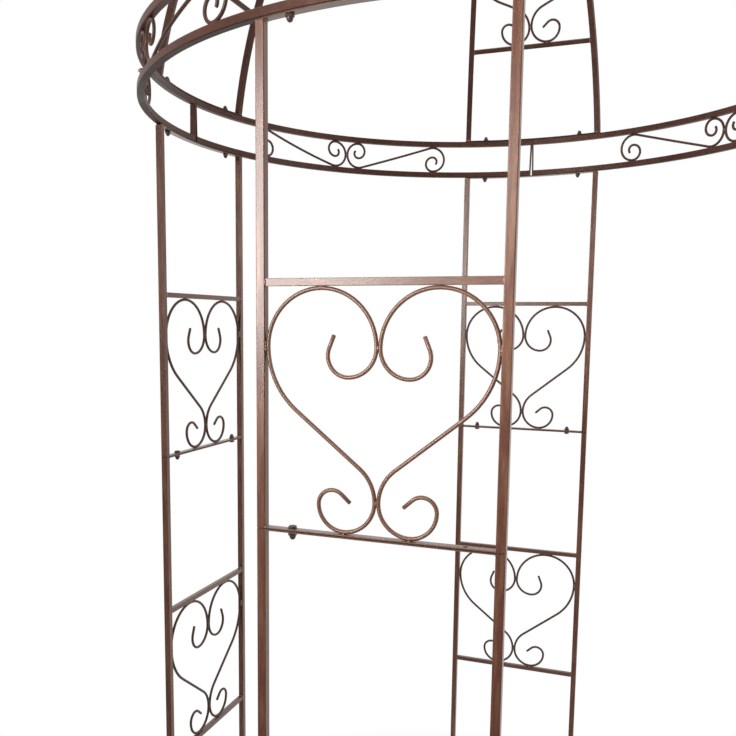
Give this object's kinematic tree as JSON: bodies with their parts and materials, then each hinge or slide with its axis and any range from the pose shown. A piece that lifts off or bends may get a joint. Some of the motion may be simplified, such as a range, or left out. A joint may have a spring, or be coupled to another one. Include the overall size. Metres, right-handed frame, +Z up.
{
  "type": "decorative garden pavilion",
  "caption": "Round open garden pavilion of bronze-brown steel tube: ladder panels with bent-wire hearts, a scrolled ring beam and an open dome of bent ribs.",
  "frame": {"origin": "middle of the pavilion at ground level", "axes": "+Z up, -Y out through the front panel, +X out through the right panel"},
  "size_m": [1.5, 1.5, 2.794],
  "materials": {
    "tube_coat": "bronze-brown coat with a soft metallic sheen",
    "wire_coat": "bronze-brown coat with a coppery sheen",
    "bolt_coat": "dark grey-brown coat"
  },
  "bodies": {
    "root": {"back_dome_heart": "wire_coat", "back_dome_rails": "tube_coat", "back_dome_ribs": "tube_coat", "back_left_ring_frame": "tube_coat", "back_left_ring_scrolls": "wire_coat", "back_lower_heart": "wire_coat", "back_lower_posts": "tube_coat", "back_lower_rails": "tube_coat", "back_right_ring_frame": "tube_coat", "back_right_ring_scrolls": "wire_coat", "back_upper_heart": "wire_coat", "back_upper_posts": "tube_coat", "back_upper_rails": "tube_coat", "crown_ring": "tube_coat", "front_dome_heart": "wire_coat", "front_dome_rails": "tube_coat", "front_dome_ribs": "tube_coat", "front_left_ring_frame": "tube_coat", "front_left_ring_scrolls": "wire_coat", "front_lower_heart": "wire_coat", "front_lower_posts": "tube_coat", "front_lower_rails": "tube_coat", "front_right_ring_frame": "tube_coat", "front_right_ring_scrolls": "wire_coat", "front_upper_heart": "wire_coat", "front_upper_posts": "tube_coat", "front_upper_rails": "tube_coat", "left_dome_heart": "wire_coat", "left_dome_rails": "tube_coat", "left_dome_ribs": "tube_coat", "left_lower_heart": "wire_coat", "left_lower_posts": "tube_coat", "left_lower_rails": "tube_coat", "left_upper_heart": "wire_coat", "left_upper_posts": "tube_coat", "left_upper_rails": "tube_coat", "right_dome_heart": "wire_coat", "right_dome_rails": "tube_coat", "right_dome_ribs": "tube_coat", "right_lower_heart": "wire_coat", "right_lower_posts": "tube_coat", "right_lower_rails": "tube_coat", "right_upper_heart": "wire_coat", "right_upper_posts": "tube_coat", "right_upper_rails": "tube_coat"}
  },
  "joints": []
}
